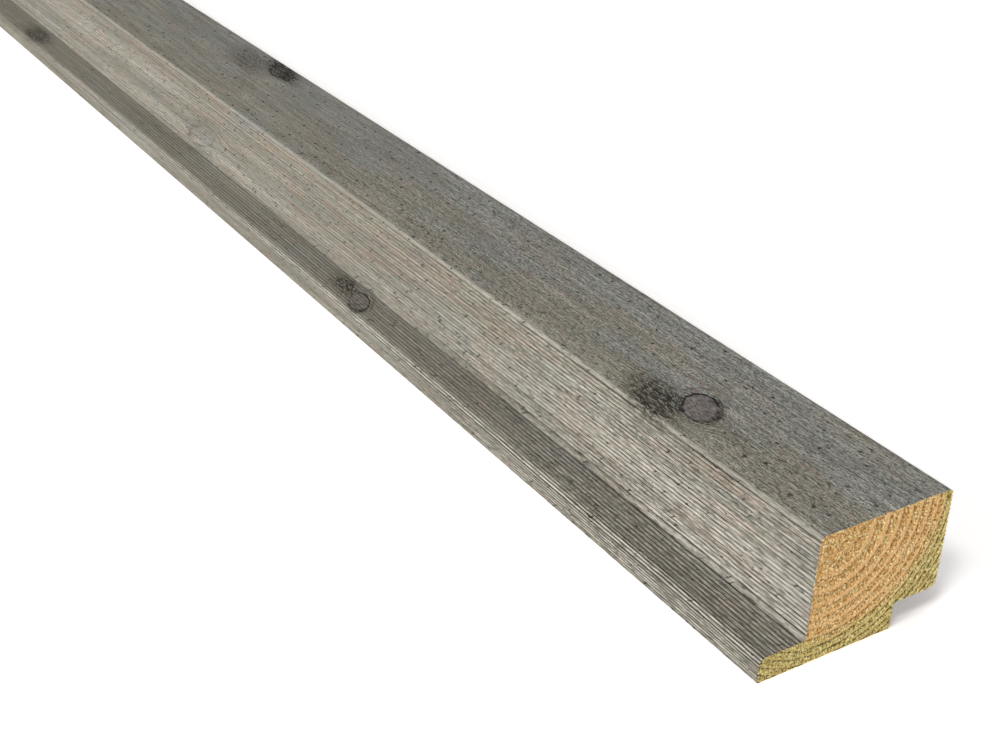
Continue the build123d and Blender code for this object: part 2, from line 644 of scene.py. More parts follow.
# %% [markdown]
# Colours are mixed in the linear values of light, which say little to the eye, so they are written as they
# are seen on screen and turned into linear ones. All patterns are noises. Wood runs lengthwise, so most of
# them are stretched clouds, given by their length and width in mm. A noise rarely comes near 0 or 1, so
# where one chooses between two colours, only the part of its range that holds most of it is used.

# %% Helpers for colours and clouds
MOST = (0.3, 0.7)
CORE = (0.35, 0.65)


def colour(red, green, blue):
    """A colour given as it is seen on screen, 0 to 255, turned to the linear values that nodes use."""
    def linear(value):
        value /= 255
        return value / 12.92 if value <= 0.04045 else ((value + 0.055) / 1.055) ** 2.4
    return (linear(red), linear(green), linear(blue), 1.0)


def mix(tree, amount, first, second, blend_type="MIX"):
    """Mixes two colours and returns the result."""
    node = add(tree, "Mix", {0: amount, 6: first, 7: second}, data_type="RGBA", blend_type=blend_type)
    return node.outputs[2]


def tinted(tree, base, tint):
    """Multiplies a colour by a tint."""
    return mix(tree, 1.0, base, tint, "MULTIPLY")


def scaled(tree, vector, per_axis, shift=(0.0, 0.0, 0.0)):
    """Multiplies a vector by a number for each axis, then shifts it by another vector."""
    node = add(tree, "VectorMath", {0: vector, 1: per_axis, 2: shift}, operation="MULTIPLY_ADD")
    return node.outputs[0]


def turned(tree, surface, angle):
    """Turns a place on the unrolled surface."""
    return add(tree, "VectorRotate", {"Vector": surface, "Angle": angle}, rotation_type="Z_AXIS").outputs[0]


def cloud(tree, vector, detail=2.0, roughness=0.5, distortion=0.0):
    """Adds a noise texture and returns its value."""
    return add(tree, "TexNoise", {"Vector": vector, "Scale": 1.0, "Detail": detail,
                                  "Roughness": roughness, "Distortion": distortion}).outputs[0]


def stretched_cloud(tree, surface, length, width, start, detail=2.0, roughness=0.5, distortion=0.0):
    """A noise with clouds of a length and width in mm, begun at a place of its own."""
    place = scaled(tree, surface, (1 / length, 1 / width, 0.0), start)
    return cloud(tree, place, detail, roughness, distortion)


# %% [markdown]
# Nodes that are laid more than once, or that would crowd a material, go into a group of their own. Each
# finish starts and ends in the same way, so that is a helper too.

# %% Helpers for groups and finishes


def new_group(name, **inputs):
    """A new group of nodes with the inputs given by name and kind, and the sockets that carry them."""
    tree = bpy.data.node_groups.new(name, "ShaderNodeTree")
    for input_name, kind in inputs.items():
        tree.interface.new_socket(input_name, in_out="INPUT", socket_type="NodeSocket" + kind)
    given = tree.nodes.new("NodeGroupInput").outputs if inputs else None
    return tree, given


def give(tree, results):
    """Ends a group: each result becomes an output with its name."""
    out = tree.nodes.new("NodeGroupOutput")
    for name, value in results.items():
        tree.interface.new_socket(name, in_out="OUTPUT", socket_type="NodeSocketFloat")
        tree.links.new(value, out.inputs[name])


def new_finish(name):
    """A new material, with its nodes and its shader."""
    material = bpy.data.materials.new(name)
    material.use_nodes = True
    return material, material.node_tree, material.node_tree.nodes["Principled BSDF"]


def lay_on(tree, shader, base, height, roughness, shine):
    """Gives the shader its colour, its fine relief in mm, its roughness and its shine."""
    bump = add(tree, "Bump", {"Height": height, "Strength": 1.0, "Distance": MM})
    tree.links.new(bump.outputs[0], shader.inputs["Normal"])
    tree.links.new(base, shader.inputs["Base Color"])
    if isinstance(roughness, bpy.types.NodeSocket):
        tree.links.new(roughness, shader.inputs["Roughness"])
    else:
        shader.inputs["Roughness"].default_value = roughness
    shader.inputs["Specular IOR Level"].default_value = shine


# %% [markdown]
# Growth rings run through the whole slat about the pith, so one group of nodes gives them to both
# finishes: faint lines along the stained faces, and arcs on the ends. The distance from the pith becomes a
# count of years, which rises faster further out because the tree grew slower as it aged. The last part of
# each year is the hard late wood. The saw cut the rings cleanly on one side of the pith and only crumbled
# them on the other, so the group also says how clear they are, and how far a place lies to the right.

# %% Growth rings
RING_BEND = 1.4
RING_FRAY = 0.9
# clouds in a metre, along, across and up
BEND_CLOUDS = (2.5, 40.0, 40.0)
FRAY_CLOUDS = (60.0, 420.0, 420.0)
# parts of a year, and mm from the pith
LATE_RISES = (0.54, 0.7)
LATE_FALLS = (1.0, 0.93)
CLEAR_FROM_PITH = (4.0, 20.0)
CRUMBLED_TO_CLEAR = (-0.25, 0.35)
CRUMBLED = 0.45


def growth_rings():
    """A group that gives late wood, part of the year, mm from the pith, clearness and side."""
    tree, _ = new_group("growth_rings")
    place = add(tree, "TexCoord").outputs["Object"]
    bend = cloud(tree, scaled(tree, place, BEND_CLOUDS), detail=1.0)
    fray = cloud(tree, scaled(tree, place, FRAY_CLOUDS))
    _, across, up = axes(tree, place)
    aside = calc(tree, "DIVIDE", calc(tree, "SUBTRACT", across, PITH_ACROSS), MM)
    above = calc(tree, "DIVIDE", calc(tree, "SUBTRACT", up, PITH_UP), MM / RINGS_FLATTENED)
    squares = calc(tree, "ADD", times(tree, aside, aside), times(tree, above, above))
    radius = calc(tree, "SQRT", squares)
    bent = swayed(tree, radius, bend, RING_BEND)
    frayed = swayed(tree, bent, fray, RING_FRAY)
    first_years = calc(tree, "MULTIPLY_ADD", frayed, YEARS_PER_MM, FIRST_YEAR)
    years_grown = calc(tree, "MULTIPLY_ADD", calc(tree, "POWER", frayed, 3.0), SLOWING, first_years)
    part_of_year = calc(tree, "FRACT", years_grown)
    late = times(tree, ramp(tree, part_of_year, *LATE_RISES), ramp(tree, part_of_year, *LATE_FALLS))
    to_right = calc(tree, "DIVIDE", aside, radius)
    clear_side = ramp(tree, to_right, *CRUMBLED_TO_CLEAR, CRUMBLED, 1.0)
    give(tree, {
        "Late wood": late,
        "Part of year": part_of_year,
        "From pith": bent,
        "Clear": times(tree, ramp(tree, radius, *CLEAR_FROM_PITH), clear_side),
        "To right": to_right,
    })
    return tree


rings_group = growth_rings()
print("growth rings:", len(rings_group.nodes), "nodes")

# %% [markdown]
# A knot on a planed face is an ellipse. On one side a crisp black line parts it from the wood, and on the
# other the line is faint. Between the two, the bark is smeared into a soft hatched crescent, because the
# branch left the trunk at a slant. Around it resin darkens the wood, and a faint second arc often follows
# the crisp side. Every point of the mesh knows its place in the frame of its nearest knot, so these nodes
# need to be laid only once. All widths and distances are shares of the knot's own size.

# %% Knot
RIM_WIDTH = 0.09
RIM_CORE = 0.4
RIM_RAGGED = 0.22
RIM_HATCHED = 0.4
RIM_BREAKS = (0.35, 0.75)
RIM_FAINT = 0.5
FAINT_TO_CRISP = (0.1, -0.4)
ARC_DISTANCE = 1.42
ARC_WIDTH = (0.11, 0.02)
ARC_SPAN = (-0.75, -0.97)
ARC_STRENGTH = 0.4
BARK_TURN = math.radians(70)
BARK_SPAN = (0.3, 0.85)
BARK_INSIDE = (0.7, 0.95)
BARK_OUTSIDE = (1.38, 1.12)
HEART_FADE = (1.0, 0.9)
HALO_FADE = (1.9, 0.95)
FIBRE_BENT = (2.1, 0.8)
NOT_ZERO = 0.01


def knot_marks():
    """A group that gives the rim, bark, heart and halo of the nearest knot, and the shift of the fibre."""
    tree, given = new_group("knot_marks", Ragged="Float", Hatch="Float")
    place, side, look = [
        axes(tree, layer(tree, name, "Vector")) for name in ("knot_place", "knot_side", "knot_look")
    ]
    heading = add(tree, "CombineXYZ", {0: place[0], 1: place[1]}).outputs[0]
    plain = add(tree, "VectorMath", {0: heading}, operation="LENGTH").outputs["Value"]
    distance = swayed(tree, plain, given["Ragged"], RIM_RAGGED)
    along_side = calc(tree, "MULTIPLY_ADD", place[0], side[0], times(tree, place[1], side[1]))
    facing = calc(tree, "DIVIDE", along_side, calc(tree, "MAXIMUM", plain, NOT_ZERO))
    across_side = calc(tree, "SUBTRACT", times(tree, place[1], side[0]), times(tree, place[0], side[1]))
    aside = calc(tree, "DIVIDE", across_side, calc(tree, "MAXIMUM", plain, NOT_ZERO))
    aside_share = times(tree, aside, math.sin(BARK_TURN))
    to_bark = calc(tree, "MULTIPLY_ADD", facing, math.cos(BARK_TURN), aside_share)

    from_rim = calc(tree, "ABSOLUTE", calc(tree, "SUBTRACT", distance, 1.0))
    in_line = ramp(tree, from_rim, RIM_WIDTH, RIM_WIDTH * RIM_CORE)
    line = times(tree, in_line, ramp(tree, facing, *FAINT_TO_CRISP, RIM_FAINT))
    line = ramp(tree, swayed(tree, line, given["Hatch"], RIM_HATCHED), *RIM_BREAKS)
    crescent = times(tree, ramp(tree, distance, *BARK_INSIDE), ramp(tree, distance, *BARK_OUTSIDE))
    bark = times(tree, crescent, ramp(tree, to_bark, *BARK_SPAN))
    from_arc = calc(tree, "ABSOLUTE", calc(tree, "SUBTRACT", distance, ARC_DISTANCE))
    in_arc = ramp(tree, from_arc, *ARC_WIDTH)
    arc = times(tree, in_arc, ramp(tree, facing, *ARC_SPAN, 0.0, ARC_STRENGTH))
    bent = times(tree, place[2], ramp(tree, plain, *FIBRE_BENT))
    give(tree, {
        "Rim": times(tree, calc(tree, "MAXIMUM", line, arc), look[0]),
        "Bark": times(tree, bark, look[0]),
        "Heart": times(tree, ramp(tree, distance, *HEART_FADE), look[1]),
        "Halo": times(tree, ramp(tree, distance, *HALO_FADE), look[0]),
        "Shift": times(tree, bent, look[2]),
    })
    return tree


knot_group = knot_marks()
print("knot:", len(knot_group.nodes), "nodes")

# %% [markdown]
# The face of the slat is stained a thin warm grey, so the wood's fibre shows through it. This group lays
# down what every face shares, in four layers from long streaks to fine grit. They are kept as plain values
# from 0 to 1, so that the colour, the gloss and the bump all follow the same fibre.

# %% Fibre
# name, length and width of its noise in mm, detail, roughness, distortion
fibre_layers = (
    ("Streaks", 40.0, 1.3, 4.0, 0.65, 0.0),
    ("Fuzz", 5.0, 0.75, 3.0, 0.6, 0.15),
    ("Hair", 2.2, 0.45, 2.0, 0.6, 0.2),
    ("Grit", 0.8, 0.6, 2.0, 0.6, 0.0),
)


def fibre_values():
    """A group that gives each layer of fibre at a place on the unrolled surface in mm."""
    tree, given = new_group("fibre_values", Place="Vector")
    values = {}
    for index, (name, length, width, *look) in enumerate(fibre_layers):
        start = (3.0 * index, 7.0 * index, index)  # each layer begins elsewhere in the noise
        values[name] = stretched_cloud(tree, given[0], length, width, start, *look)
    give(tree, values)
    return tree


fibre_group = fibre_values()
print("fibre:", len(fibre_group.nodes), "nodes")

# %% [markdown]
# The stain itself comes first. It dried in broad clouds, browner on one side of the slat and bluer on the
# other, with a rosy blush on the block's left side that fades towards its foot, and it took up more in the
# dark fibre than in the light. Each layer of fibre makes the colour darker or lighter by its own share,
# which keeps the hue where a mix with black or white would grey it. Ribs show less of the fibre than the
# sawn top does, so each kind of fibre has a smaller share there.

# %% Stain and its fibre
STAIN_DARK = colour(120, 118, 110)
STAIN_LIGHT = colour(154, 152, 144)
STAIN_CLOUD = colour(110, 106, 97)
BLUE_TINT = (0.955, 0.995, 1.045, 1.0)
BROWN_TINT = (1.03, 1.0, 0.96, 1.0)
PINK_TINT = (1.035, 0.985, 0.995, 1.0)
GREEN_TINT = (0.96, 1.015, 0.97, 1.0)
ROSY_TINT = (1.09, 0.98, 0.94, 1.0)

# length and width in mm of each kind of cloud, where it begins, and the blush's detail
broad_clouds = (75, 13, (2.0, 5.0, 0.0))
tint_clouds = (60, 14, (8.0, 2.0, 0.0))
pink_clouds = (10, 2.5, (3.0, 9.0, 0.0))
blush_clouds = (32, 6, (6.0, 3.0, 0.0), 3.0)
CLOUD_SHARE = 0.3
TINT_CONTRAST = 3.5
BLUSH_EDGE = (0.48, 0.66)
BLUSH_ELSEWHERE = 0.15
BLUSH_AT_FOOT = 0.3
FOOT_SHARE = 0.2

soft_shares = {"Streaks": 0.5, "Fuzz": 2.2}
crisp_shares = {"Hair": 3.4, "Grit": 3.4}
SOFT_ON_RIBS = 0.45
CRISP_ON_RIBS = 0.8
DARKEST = 0.3
LIGHTEST = 1.75

# places round the section in mm
side_foot = place_around(block_side, tongue_top) / MM
left_crest = place_around(block_side, high.z) / MM
right_crest = place_around(high.y, high.z) / MM
print("round the section to the side's foot and both crests (mm):", side_foot, left_crest, right_crest)


def fibre_shade(tree, values, on_top, strength):
    """How much lighter or darker the fibre makes the stain, about 1."""
    shade = 0.0
    for shares, on_ribs in ((soft_shares, SOFT_ON_RIBS), (crisp_shares, CRISP_ON_RIBS)):
        part = 0.0
        for name, share in shares.items():
            part = swayed(tree, part, values[name], share)
        shade = calc(tree, "MULTIPLY_ADD", part, between(tree, on_top, on_ribs, 1.0), shade)
    shade = calc(tree, "MULTIPLY_ADD", shade, strength, 1.0)
    return calc(tree, "MINIMUM", calc(tree, "MAXIMUM", shade, DARKEST), LIGHTEST)


def stain(tree, surface, values, on_top, strength):
    """The colour of the stain with its clouds, tints and fibre."""
    broad = stretched_cloud(tree, surface, *broad_clouds)
    tint = stretched_cloud(tree, surface, *tint_clouds)
    pink = stretched_cloud(tree, surface, *pink_clouds)
    base = mix(tree, ramp(tree, values["Streaks"], *MOST), STAIN_DARK, STAIN_LIGHT)
    base = mix(tree, ramp(tree, broad, *CORE, 0.0, CLOUD_SHARE), base, STAIN_CLOUD)
    across = axes(tree, surface)[1]
    cold = swayed(tree, ramp(tree, across, left_crest, right_crest), tint, TINT_CONTRAST)
    base = tinted(tree, base, mix(tree, ramp(tree, cold, 0.0, 1.0), BROWN_TINT, BLUE_TINT))
    base = tinted(tree, base, mix(tree, ramp(tree, pink, *MOST), GREEN_TINT, PINK_TINT))
    blush = stretched_cloud(tree, surface, *blush_clouds)
    above_foot = side_foot + FOOT_SHARE * (left_crest - side_foot)
    off_foot = ramp(tree, across, side_foot, above_foot, BLUSH_AT_FOOT, 1.0)
    on_side = calc(tree, "MAXIMUM", calc(tree, "SUBTRACT", off_foot, on_top), BLUSH_ELSEWHERE)
    rosier = times(tree, ramp(tree, blush, *BLUSH_EDGE), on_side)
    base = mix(tree, rosier, base, tinted(tree, base, ROSY_TINT))
    shade = fibre_shade(tree, values, on_top, strength)
    return add(tree, "VectorMath", {0: base, "Scale": shade}, operation="SCALE").outputs[0]


# %% [markdown]
# Stain and dirt collect in the grooves, and their dark colour is also painted shade of the recess. The
# ridges between them are rubbed pale, as are the corners, and the pale of both is also a painted highlight.
# Neither
# happens evenly: the fuzz of the fibre breaks the dark lines and the hair breaks the pale ones. Ribs that
# face up, as on the tongue, get darker grooves and are rubbed less, because the next slat laps them.

# %% Grooves with dirt and painted shade, ridges and corners with wear and painted highlights
# the grooves' colour: stain and dirt, and painted shade of the recess
GROOVE_DIRT_AND_SHADE = colour(34, 31, 26)
# pale of rubbed and bleached fibre, also a painted highlight on the ridges and in pale patches
PALE_FIBRE_AND_HIGHLIGHT = colour(209, 205, 194)
SHELTERED_COLOUR = colour(98, 93, 88)
# rubbed corners, partly a painted highlight along the rounded edge
ARRIS_WEAR_AND_HIGHLIGHT = colour(164, 160, 149)

GROOVE_BREAKS = -1.3
GROOVE_DARKENS = (0.3, 1.05)
GROOVE_EDGE = (0.2, 0.6)
FACES_UP = (0.5, 0.9)
GROOVE_DARK_FACING_UP = 1.25
RIDGE_PALE_FACING_UP = 0.35
SHELTERED = 0.3
RIDGE_EDGE = (0.3, 0.05)
HAIR_BREAKS = (0.42, 0.56)
PALE_PATCH_ON_RIDGES = 0.2
RIDGE_PALE_RANGE = (0.42, 0.7)
RIDGE_PALE_SHARES = (0.12, 0.74)
ARRIS_EDGE = (0.5, 1.0)
ARRIS_BREAKS = (0.3, 0.6)
ARRIS_SHARES = (0.25, 0.7)


def dirt_wear_and_painted_light(tree, base, layers, values, pale, groove_and_ridge_strength):
    """Darkens the grooves with dirt and painted shade, and paints ridges and corners pale with wear and
    highlight.
    """
    uneven = swayed(tree, layers["groove"], values["Fuzz"], GROOVE_BREAKS)
    off_ridge = ramp(tree, layers["groove"], *GROOVE_EDGE)
    groove_dirt_and_shade = times(tree, ramp(tree, uneven, *GROOVE_DARKENS), off_ridge)
    facing_up = axes(tree, add(tree, "NewGeometry").outputs["Normal"])[2]
    groove_darker = times(tree, groove_and_ridge_strength, ramp(tree, facing_up, *FACES_UP, 1.0, GROOVE_DARK_FACING_UP))
    # painted shade in the grooves, over their stain and dirt
    base = mix(tree, times(tree, groove_dirt_and_shade, groove_darker), base, GROOVE_DIRT_AND_SHADE)

    on_ridge = ramp(tree, layers["groove"], *RIDGE_EDGE)
    on_ridge = times(tree, on_ridge, ramp(tree, values["Hair"], *HAIR_BREAKS))
    ridge_pale_noise = calc(tree, "ADD", values["Streaks"], times(tree, pale, PALE_PATCH_ON_RIDGES))
    # pale ridges: rubbed fibre, and partly a painted highlight on the crest
    pale_ridge_and_highlight = times(tree, times(tree, on_ridge, groove_and_ridge_strength), ramp(tree, ridge_pale_noise, *RIDGE_PALE_RANGE, *RIDGE_PALE_SHARES))
    not_sawn = calc(tree, "SUBTRACT", 1.0, layers["sawn"])
    pale_ridge_and_highlight = times(tree, pale_ridge_and_highlight, not_sawn)
    pale_ridge_and_highlight = times(tree, pale_ridge_and_highlight, ramp(tree, facing_up, *FACES_UP, 1.0, RIDGE_PALE_FACING_UP))
    sheltered = times(tree, ramp(tree, facing_up, *FACES_UP), not_sawn)
    base = mix(tree, times(tree, sheltered, SHELTERED), base, SHELTERED_COLOUR)
    base = mix(tree, pale_ridge_and_highlight, base, PALE_FIBRE_AND_HIGHLIGHT)

    # pale corners: wear, and a painted highlight along the arris
    broken = ramp(tree, values["Fuzz"], *ARRIS_BREAKS, *ARRIS_SHARES)
    return mix(tree, times(tree, ramp(tree, layers["arris"], *ARRIS_EDGE), broken), base, ARRIS_WEAR_AND_HIGHLIGHT)


# %% [markdown]
# The cutters tore small pits out of the fibre, most of all out of the sawn top, and short slashes across
# it, most of all on the ribbed sides. A Voronoi texture scatters points, and the distance to the nearest
# one draws a mark round it. It works in two dimensions, because a flat map cuts through few of the points
# that a solid one has. The random colour of each point decides whether it gets a mark and how large it is,
# and the hair of the fibre makes the marks ragged.

# %% Pits and slashes
PIT_COLOUR = colour(30, 29, 24)
SLASH_ANGLE = math.radians(-40)

# spacing along and across in mm, share of points without a mark, radius as a share of the spacing
large_pits = (8.0, 5.5, 0.45, 0.105)
small_pits = (3.6, 2.8, 0.76, 0.085)
slashes = (10.0, 1.7, 0.8, 0.12)
MARK_OR_NONE = 0.02
SMALLEST_MARK = 0.45
LEAST_SIZE = 0.001
MARK_EDGE = (1.3, 0.9)
NUDGE = (0.5, 0.3, 0.0)
NUDGE_CLOUDS = (1.2, 1.2, 0.0)
LARGE_ON_RIBS = 0.35
SLASHES_ON_TOP = 0.6
FLAWS_IF_PLANED = 0.15
PIT_RAGGED = 5.0


def scattered_marks(tree, place, rough, spacing_along, spacing_across, missing, radius):
    """Ragged marks round scattered points, each of its own size."""
    points = add(tree, "TexVoronoi", {
        "Vector": scaled(tree, place, (1 / spacing_along, 1 / spacing_across, 0.0)), "Scale": 1.0,
    }, voronoi_dimensions="2D")
    lot = add(tree, "SeparateColor", {0: points.outputs["Color"]}).outputs[0]
    smallest = ramp(tree, lot, missing, missing + MARK_OR_NONE, 0.0, SMALLEST_MARK * radius)
    size = calc(tree, "ADD", smallest, ramp(tree, lot, missing, 1.0, 0.0, (1 - SMALLEST_MARK) * radius))
    core = calc(tree, "DIVIDE", points.outputs["Distance"], calc(tree, "MAXIMUM", size, LEAST_SIZE))
    return ramp(tree, calc(tree, "ADD", core, rough), *MARK_EDGE)


def flaws(tree, surface, hair, planed, on_top):
    """Pits everywhere and slashes across the fibre, but few on the planed faces."""
    rough = times(tree, calc(tree, "SUBTRACT", hair, 0.5), PIT_RAGGED)
    wobbly = scaled(tree, surface, NUDGE_CLOUDS)
    wobble = add(tree, "TexNoise", {"Vector": wobbly, "Scale": 1.0, "Detail": 2.0}).outputs["Color"]
    nudged = scaled(tree, wobble, NUDGE, surface)
    slanted = turned(tree, nudged, SLASH_ANGLE)
    large = times(tree, scattered_marks(tree, nudged, rough, *large_pits),
                  between(tree, on_top, LARGE_ON_RIBS, 1.0))
    marks = calc(tree, "MAXIMUM", large, scattered_marks(tree, nudged, rough, *small_pits))
    slashed = between(tree, on_top, 1.0, SLASHES_ON_TOP)
    slashed = times(tree, scattered_marks(tree, slanted, rough, *slashes), slashed)
    marks = calc(tree, "MAXIMUM", marks, slashed)
    return times(tree, marks, between(tree, planed, 1.0, FLAWS_IF_PLANED))


# %% [markdown]
# Last come the knots with the patches round them. The heart of a knot is smooth and mauve grey, with the
# same hatch as its bark. Bark and resin lie in dark wavy scales, for which a noise is stretched along the
# fibre and turned a little. Where resin is thickest it closes to a solid patch. A noise breaks up the
# body and edge of each patch: an even one for resin, and the streaks of the fibre where it is pale.

# %% Knots and patches
HEART_DARK = colour(74, 69, 68)
HEART_LIGHT = colour(138, 129, 127)
RESIN_COLOUR = colour(36, 36, 28)
RIM_COLOUR = colour(20, 18, 18)
BARK_COLOUR = colour(46, 41, 40)
ROSY_COLOUR = colour(140, 96, 98)

# length and width in mm, where it begins, detail, roughness, distortion
resin_scales = (2.6, 0.8, (4.0, 6.0, 0.0), 2.0, 0.6, 0.6)
SCALE_TURN = 0.22
SCALE_EDGE = (0.57, 0.45)
SCALE_SHARES = (0.2, 1.15)
SOLID_FROM = 1.2
RESIN_COVERS = 0.95
HALO_SHARE = 0.35
HEART_MOTTLED = (0.25, 0.6)
HEART_HATCHED = 0.9
BARK_BETWEEN = 0.5
PATCH_BROKEN = 1.6


def patch_masks(tree, breaks):
    """The strength of each kind of patch at a place, with its edge and body broken up by a noise."""
    masks = {}
    for kind, strength in zip(PATCH_KINDS, axes(tree, layer(tree, "patch", "Vector"))):
        broken = times(tree, calc(tree, "SUBTRACT", breaks[kind], 0.5), PATCH_BROKEN)
        masks[kind] = calc(tree, "MAXIMUM", calc(tree, "MULTIPLY_ADD", strength, broken, strength), 0.0)
    return masks


def knots_and_patches(tree, base, surface, hatch, values, found, masks):
    """Paints the knots and patches, and returns the colour with the halo and curl that the bump needs."""
    curl = stretched_cloud(tree, turned(tree, surface, SCALE_TURN), *resin_scales)
    heart_shade = mix(tree, ramp(tree, values["Fuzz"], *HEART_MOTTLED), HEART_DARK, HEART_LIGHT)
    heart_shade = mix(tree, times(tree, hatch, HEART_HATCHED), heart_shade, HEART_DARK)
    base = mix(tree, found["Heart"], base, heart_shade)
    halo = calc(tree, "MAXIMUM", masks["resin"], times(tree, found["Halo"], HALO_SHARE))
    halo = times(tree, halo, calc(tree, "SUBTRACT", 1.0, found["Heart"]))
    scales = times(tree, halo, ramp(tree, curl, *SCALE_EDGE, *SCALE_SHARES))
    solid = calc(tree, "MAXIMUM", calc(tree, "SUBTRACT", halo, SOLID_FROM), 0.0)
    scales = calc(tree, "ADD", scales, solid)
    base = mix(tree, times(tree, scales, RESIN_COVERS), base, RESIN_COLOUR)
    hatched_bark = times(tree, found["Bark"], between(tree, hatch, BARK_BETWEEN, 1.0))
    base = mix(tree, hatched_bark, base, BARK_COLOUR)
    return mix(tree, found["Rim"], base, RIM_COLOUR), halo, curl


# %% [markdown]
# One material puts these parts together, in the order in which the real marks came about. The fibre has to
# be bent round the knots before anything follows it, so the knots are measured first and painted last. The
# hatch of bark and heart lies straight along the slat, over the knot. Away from the ends the contrast is
# lower, which stands for the softness of the photograph there, and it lasts a little further on the top.
# The fibre is longer on the ribs than on the sawn top.

# %% Stained softwood
FIBRE_SHIFT = -0.7
WANDER = 1.1
LONG_FIBRE = 0.35
GROOVE_AND_RIDGE_STRENGTH = 0.88
MIDDLE_CONTRAST = 0.29
# by how many mm the full contrast reaches further on the top
FURTHER_ON_TOP = 130
LATE_TINT = colour(128, 108, 82)

# length and width in mm, where it begins, detail, roughness
wander_clouds = (38, 9, (4.0, 4.0, 0.0), 1.0)
hatch_clouds = (2.6, 0.6, (5.0, 1.0, 0.0), 2.0, 0.6)
HATCH_EDGE = (0.56, 0.44)
RAGGED_CLOUDS = (0.35, 0.35, 0.0)
PALE_PATCH_SHARES = (0.1, 0.5)
FLAW_DARKENS = 0.9
RINGS_ON_STAIN = 0.08
RINGS_IF_PLANED = 0.33

# heights of the finest relief in mm, and what is left of it on smooth wood
fibre_heights = {"Hair": 0.32, "Fuzz": 0.5, "Grit": 0.16}
LEFT_IF_PLANED = 0.2
LEFT_ON_HEART = 0.4
FLAW_HEIGHT = -0.3
RIM_HEIGHT = -0.25
SCALE_HEIGHT = 0.9
FUZZ_RANGE = (0.2, 0.8)
STAIN_ROUGHNESS = (0.82, 0.6)
STAIN_SHINE = 0.3


def straightened(tree, surface, shift):
    """The place on the surface with its fibre laid straight again."""
    wander = stretched_cloud(tree, surface, *wander_clouds)
    aside = calc(tree, "MULTIPLY_ADD", shift, FIBRE_SHIFT, times(tree, wander, WANDER))
    sideways = add(tree, "CombineXYZ", {1: aside}).outputs[0]
    return add(tree, "VectorMath", {0: surface, 1: sideways}).outputs[0]


def stained_softwood():
    """The finish of every face but the sawn ends."""
    material, tree, shader = new_finish("stained_softwood")
    surface = scaled(tree, add(tree, "UVMap", uv_map="unrolled").outputs[0], (1 / MM, 1 / MM, 0.0))
    layers = {name: layer(tree, name) for name in ("groove", "arris", "sawn", "planed")}
    ragged = cloud(tree, scaled(tree, surface, RAGGED_CLOUDS), detail=3.0)
    hatch = ramp(tree, stretched_cloud(tree, surface, *hatch_clouds), *HATCH_EDGE)
    found = add(tree, "Group", {0: ragged, 1: hatch}, node_tree=knot_group).outputs
    along_fibre = straightened(tree, surface, found["Shift"])
    on_top = calc(tree, "GREATER_THAN", layers["sawn"], 0.5)
    longer = add(tree, "CombineXYZ", {0: between(tree, on_top, LONG_FIBRE, 1.0), 1: 1.0}).outputs[0]
    stretched = add(tree, "VectorMath", {0: along_fibre, 1: longer}, operation="MULTIPLY").outputs[0]
    values = add(tree, "Group", {0: stretched}, node_tree=fibre_group).outputs
    from_middle = calc(tree, "ABSOLUTE", axes(tree, surface)[0])
    from_middle = calc(tree, "MULTIPLY_ADD", on_top, FURTHER_ON_TOP, from_middle)
    faded, full = half_length / MM - CONTRAST_ENDS, half_length / MM - CONTRAST_FULL
    contrast = ramp(tree, from_middle, faded, full, MIDDLE_CONTRAST, 1.0)
    masks = patch_masks(tree, {"resin": ragged, "pale": values["Streaks"], "rosy": ragged})

    base = stain(tree, surface, values, on_top, contrast)
    # pale patches: bleached fibre, and painted light on the block's side and the tongue's nose
    pale_and_lit_patch = times(tree, masks["pale"], ramp(tree, values["Hair"], *CORE, *PALE_PATCH_SHARES))
    base = mix(tree, pale_and_lit_patch, base, PALE_FIBRE_AND_HIGHLIGHT)
    base = mix(tree, masks["rosy"], base, ROSY_COLOUR)
    base = dirt_wear_and_painted_light(tree, base, layers, values, masks["pale"], times(tree, contrast, GROOVE_AND_RIDGE_STRENGTH))
    flaw = flaws(tree, surface, values["Hair"], layers["planed"], on_top)
    base = mix(tree, times(tree, flaw, FLAW_DARKENS), base, PIT_COLOUR)
    base, halo, curl = knots_and_patches(tree, base, surface, hatch, values, found, masks)
    late_wood = add(tree, "Group", node_tree=rings_group).outputs["Late wood"]
    shows_rings = between(tree, layers["planed"], RINGS_ON_STAIN, RINGS_IF_PLANED)
    base = mix(tree, times(tree, late_wood, shows_rings), base, LATE_TINT)

    height = 0.0
    for name, share in fibre_heights.items():
        height = calc(tree, "MULTIPLY_ADD", values[name], share, height)
    height = times(tree, height, between(tree, layers["planed"], 1.0, LEFT_IF_PLANED))
    height = times(tree, height, between(tree, found["Heart"], 1.0, LEFT_ON_HEART))
    height = calc(tree, "MULTIPLY_ADD", flaw, FLAW_HEIGHT, height)
    height = calc(tree, "MULTIPLY_ADD", found["Rim"], RIM_HEIGHT, height)
    height = calc(tree, "MULTIPLY_ADD", times(tree, halo, curl), SCALE_HEIGHT, height)
    roughness = ramp(tree, values["Fuzz"], *FUZZ_RANGE, *STAIN_ROUGHNESS)
    lay_on(tree, shader, base, height, roughness, STAIN_SHINE)
    return material


stained = stained_softwood()
slat_mesh.materials.append(stained)
print("stained softwood:", len(stained.node_tree.nodes), "nodes")

# %% [markdown]
# The ends were sawn after the stain had dried, so they are bare. Heartwood is tan and golden, sapwood is
# greenish from the preservative. Both are painted in the same order, from the rings and the scratches of
# the saw to the holes and grains, so one function paints either from its own five colours.

# %% Colours of the sawn end
# as seen on screen: early wood, late wood, the saw's scratches, holes, grains
heart_colours = ((211, 167, 105), (214, 172, 122), (194, 144, 80), (140, 88, 24), (255, 234, 176))
sap_colours = ((196, 175, 108), (193, 171, 110), (168, 146, 78), (72, 54, 4), (244, 234, 168))
SCRATCH_SHARE = 0.5


